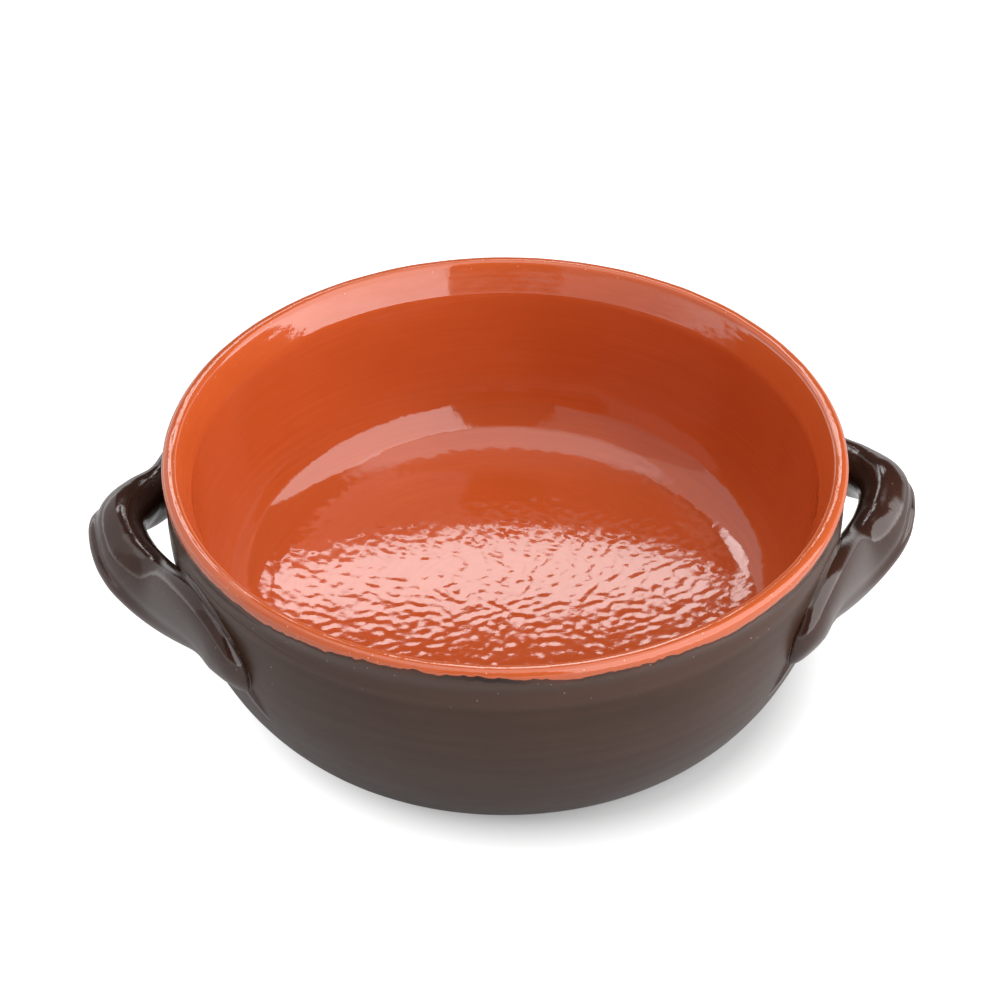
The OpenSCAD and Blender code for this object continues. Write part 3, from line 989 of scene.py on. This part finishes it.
def white_floor():
    """A large disc under the foot: diffuse white plus a glow that direct looks see in full,
    reflections see at a fifth and nothing else sees. The glow is weaker round the foot, a painted
    shadow."""
    material = bpy.data.materials.new("white_sweep")
    material.use_nodes = True
    tree = material.node_tree
    tree.nodes.clear()
    path = add_node(tree, "ShaderNodeLightPath")
    glossy, through = path.outputs["Is Glossy Ray"], path.outputs["Is Transmission Ray"]
    mirrored = math_node(tree, "MAXIMUM", glossy, through)
    mirrored = math_node(tree, "MULTIPLY", mirrored, MIRRORED_GLOW)
    seen = math_node(tree, "MAXIMUM", path.outputs["Is Camera Ray"], mirrored)
    # Painted shadow: the glow drops to 0.22 within 60 mm of a point a little right of and in front
    # of the middle, which darkens the floor round the foot beyond its real shadow. Further out it
    # rises to 0.95, painted light that hides the dish's cast shadow.
    away = add_node(tree, "ShaderNodeVectorMath", {0: object_place(tree), 1: SHADOW_MIDDLE},
                    operation="DISTANCE").outputs["Value"]
    level = map_range(tree, away, 0.060, 0.084, 0.22, 0.95)
    strength = math_node(tree, "MULTIPLY", seen, level)
    glow = add_node(tree, "ShaderNodeEmission", {"Strength": strength})
    white = add_node(tree, "ShaderNodeBsdfDiffuse", {"Color": FLOOR_WHITE})
    both = add_node(tree, "ShaderNodeAddShader", {0: glow.outputs[0], 1: white.outputs[0]})
    add_node(tree, "ShaderNodeOutputMaterial", {"Surface": both.outputs[0]})
    turn = np.linspace(0, 2 * np.pi, FLOOR_SIDES, endpoint=False)
    grid = np.stack([turned(np.full(FLOOR_SIDES, size), 0.0, turn) for size in FLOOR_RINGS])
    floor = skin_piece("floor", grid, material, first_pole=(0, 0, 0))
    floor.data.flip_normals()


def studio_world():
    """World light: bright up to some way over the horizon, easing to dim, and bright overhead."""
    world = bpy.data.worlds.new("studio")
    bpy.context.scene.world = world
    world.use_nodes = True
    tree = world.node_tree
    place = add_node(tree, "ShaderNodeTexCoord").outputs["Generated"]
    up = add_node(tree, "ShaderNodeSeparateXYZ", {0: place}).outputs[2]
    low = map_range(tree, up, 0.05, 0.22, 1.5, 0.05)
    cap = map_range(tree, up, 0.86, 0.92, 0.0, 1.5)
    level = math_node(tree, "MAXIMUM", low, cap)
    tree.links.new(level, tree.nodes["Background"].inputs["Strength"])
    tree.nodes["Background"].inputs["Color"].default_value = (1, 1, 1, 1)


white_floor()
studio_world()

# %% [markdown]
# ## Lights
# The dish is lit through tall diffusers that stand round it like a screen: a strong one on the
# right and two weak ones on the left, with a gap for the camera. A bright oval behind the dish
# mirrors in the floor's ripples, and three small ones beside it draw white lines on the lip and in
# the corner of the floor. Each diffuser is one or more upright area lights. The strength is given
# as brightness, and the power of an area light follows from it and the light's size.

# %% Diffusers
def diffuser(name, distance, start, end, low, high, brightness, panels=1, shape="RECTANGLE"):
    """Upright area lights from azimuth `start` to `end`, in degrees from the front towards the
    right, and from elevation `low` to `high`, at a distance in metres; power = brightness x pi x
    area."""
    half = math.radians(end - start) / panels / 2
    width = 2 * distance * math.tan(half)
    bottom, top = (distance * math.tan(math.radians(angle)) for angle in (low, high))
    filled = math.pi / 4 if shape == "ELLIPSE" else 1
    for k in range(panels):
        turn = math.radians(start) + half * (2 * k + 1)
        light = bpy.data.lights.new(f"{name}_{k}", "AREA")
        light.shape = shape
        light.size, light.size_y = width, top - bottom
        light.energy = brightness * math.pi * width * (top - bottom) * filled
        lamp = bpy.data.objects.new(light.name, light)
        lamp.location = (distance * math.sin(turn), -distance * math.cos(turn), (bottom + top) / 2)
        lamp.rotation_euler = (math.pi / 2, 0, turn)
        lamp.visible_camera = False
        bpy.context.scene.collection.objects.link(lamp)


FAR, NEAR = 1.4, 0.65
diffuser("right_screen", FAR, 14, 104, 4, 65, 2.45, panels=3)
diffuser("left_back_screen", FAR, -160, -92, 4, 65, 0.75, panels=2)
diffuser("left_front_screen", FAR, -92, -24, 12, 65, 0.40, panels=2)
diffuser("back_screen", NEAR, 165.5, 179, 40.0, 47.9, 4.9, shape="ELLIPSE")
diffuser("rim_left_screen", NEAR, 180, 197, 39.2, 41.8, 4.6)
diffuser("rim_right_screen", NEAR, 156, 165, 39.2, 41.8, 4.6)
diffuser("corner_screen", NEAR, 191, 203, 41.8, 48, 4.6)
print("lights:", len(bpy.data.lights))

# %% [markdown]
# ## Camera
# A long lens from above, as food and table ware is often photographed. The camera stands a few
# degrees to the left, so the left handle is a little nearer to it.

# %% Camera
VIEW_DISTANCE, VIEW_Z = 0.765, 0.0444
VIEW_TURN, VIEW_UP = math.radians(-5.0), math.radians(38.45)
lens = bpy.data.cameras.new("camera")
lens.sensor_width = 36.0
lens.lens = 103.4
lens.shift_x = -0.005
camera = bpy.data.objects.new("camera", lens)
camera.location = (
    VIEW_DISTANCE * math.sin(VIEW_TURN) * math.cos(VIEW_UP),
    -VIEW_DISTANCE * math.cos(VIEW_TURN) * math.cos(VIEW_UP),
    VIEW_Z + VIEW_DISTANCE * math.sin(VIEW_UP))
camera.rotation_euler = (math.pi / 2 - VIEW_UP, 0, VIEW_TURN)
bpy.context.scene.collection.objects.link(camera)
bpy.context.scene.camera = camera
bpy.context.scene.view_settings.view_transform = "Standard"
print("camera at", camera.location.to_tuple(3))
